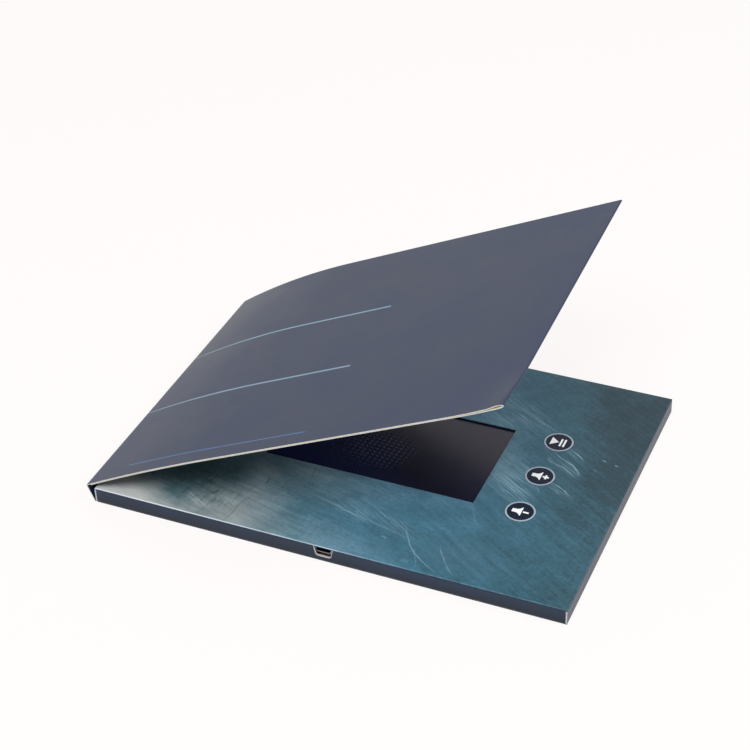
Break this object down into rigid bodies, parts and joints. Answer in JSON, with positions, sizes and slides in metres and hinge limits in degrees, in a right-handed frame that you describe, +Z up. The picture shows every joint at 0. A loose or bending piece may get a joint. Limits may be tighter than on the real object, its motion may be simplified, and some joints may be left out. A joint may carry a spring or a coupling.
{
  "type": "lcd video brochure",
  "caption": "Landscape card brochure: a creased cover opens over a flat tray with a display window, round press buttons and a small USB port in its near side.",
  "frame": {"origin": "centre of the back cover's underside", "axes": "+X along the long side from the spine to the open side, +Y from the near side with the USB port to the far side, +Z up through the tray"},
  "size_m": [0.2137, 0.151, 0.1017],
  "materials": {
    "laminated_card_navy": "matt laminated print on white board",
    "liner_card": "matt laminated print on white board",
    "printed_face_card": "printed scratched-metal pattern, matt laminated",
    "button_print": "printed navy disc with a pale ring",
    "grey_board": "raw recycled board",
    "black_foam": "closed-cell foam tape",
    "grey_foam": "closed-cell foam pad",
    "display_glass": "glossy dark display, switched off",
    "light_guide": "clear acrylic sheet with white film",
    "pressed_steel": "tinned pressed sheet",
    "magnet_nickel": "nickel-plated magnet",
    "polyimide_flex": "flexible circuit film",
    "circuit_board": "green solder mask",
    "chip_black": "moulded epoxy",
    "crystal_can": "pressed can",
    "capacitor_ceramic": "ceramic chip",
    "connector_plastic": "moulded insulator",
    "contact_gold": "gold-plated contact",
    "battery_foil": "aluminium laminate pouch",
    "wire_red": "flexible insulation",
    "wire_black": "flexible insulation",
    "speaker_plastic": "moulded frame",
    "speaker_paper": "pressed paper cone",
    "switch_plastic": "moulded switch body",
    "plunger_plastic": "moulded plunger"
  },
  "bodies": {
    "tray": {"back_cover": "laminated_card_navy", "battery_circuit": "circuit_board", "battery_lead_negative": "wire_black", "battery_lead_positive": "wire_red", "battery_pouch": "battery_foil", "board_pads": "grey_foam", "button_board": "circuit_board", "button_board_pad": "grey_foam", "button_ribbon": "polyimide_flex", "capacitors": "capacitor_ceramic", "crystal": "crystal_can", "face_sheet": "printed_face_card", "far_wall": "laminated_card_navy", "hall_sensor": "chip_black", "lcd_backlight": "light_guide", "lcd_cell": "display_glass", "lcd_connector": "connector_plastic", "lcd_frame": "pressed_steel", "lcd_gasket": "black_foam", "lcd_pads": "grey_foam", "lcd_ribbon": "polyimide_flex", "main_board": "circuit_board", "memory_chip": "chip_black", "near_wall": "laminated_card_navy", "open_side_wall": "laminated_card_navy", "play_switch": "switch_plastic", "power_inductor": "chip_black", "spacer_far": "grey_board", "spacer_near_left": "grey_board", "spacer_near_right": "grey_board", "spacer_open_side": "grey_board", "spacer_spine_side": "grey_board", "speaker_cone": "speaker_paper", "speaker_frame": "speaker_plastic", "speaker_lead_negative": "wire_black", "speaker_lead_positive": "wire_red", "speaker_magnet": "magnet_nickel", "spine_side_wall": "laminated_card_navy", "usb_contacts": "contact_gold", "usb_shell": "pressed_steel", "usb_tongue": "connector_plastic", "video_processor": "chip_black", "volume_down_switch": "switch_plastic", "volume_up_switch": "switch_plastic"},
    "spine": {"spine_panel": "laminated_card_navy"},
    "front_cover": {"front_cover_card": "laminated_card_navy", "front_cover_liner": "liner_card", "cover_magnet": "magnet_nickel"},
    "play_key": {"play_button": "button_print", "play_plunger": "plunger_plastic"},
    "volume_up_key": {"volume_up_button": "button_print", "volume_up_plunger": "plunger_plastic"},
    "volume_down_key": {"volume_down_button": "button_print", "volume_down_plunger": "plunger_plastic"}
  },
  "joints": [
    {"name": "spine_fold", "type": "hinge", "parent": "tray", "child": "spine", "pos_m": [-0.1054, 0, 0.0002], "axis": [0, -1, 0], "range_deg": [-21.5, 60]},
    {"name": "cover_fold", "type": "hinge", "parent": "spine", "child": "front_cover", "pos_m": [-0.10855, 0, 0.00799], "axis": [0, -1, 0], "range_deg": [-4, 84]},
    {"name": "play_press", "type": "slide", "parent": "tray", "child": "play_key", "axis": [0, 0, -1], "range_m": [0, 0.0003], "stiffness_N_per_m": 4000, "springref_m": -0.0003},
    {"name": "volume_up_press", "type": "slide", "parent": "tray", "child": "volume_up_key", "axis": [0, 0, -1], "range_m": [0, 0.0003], "stiffness_N_per_m": 4000, "springref_m": -0.0003},
    {"name": "volume_down_press", "type": "slide", "parent": "tray", "child": "volume_down_key", "axis": [0, 0, -1], "range_m": [0, 0.0003], "stiffness_N_per_m": 4000, "springref_m": -0.0003}
  ]
}
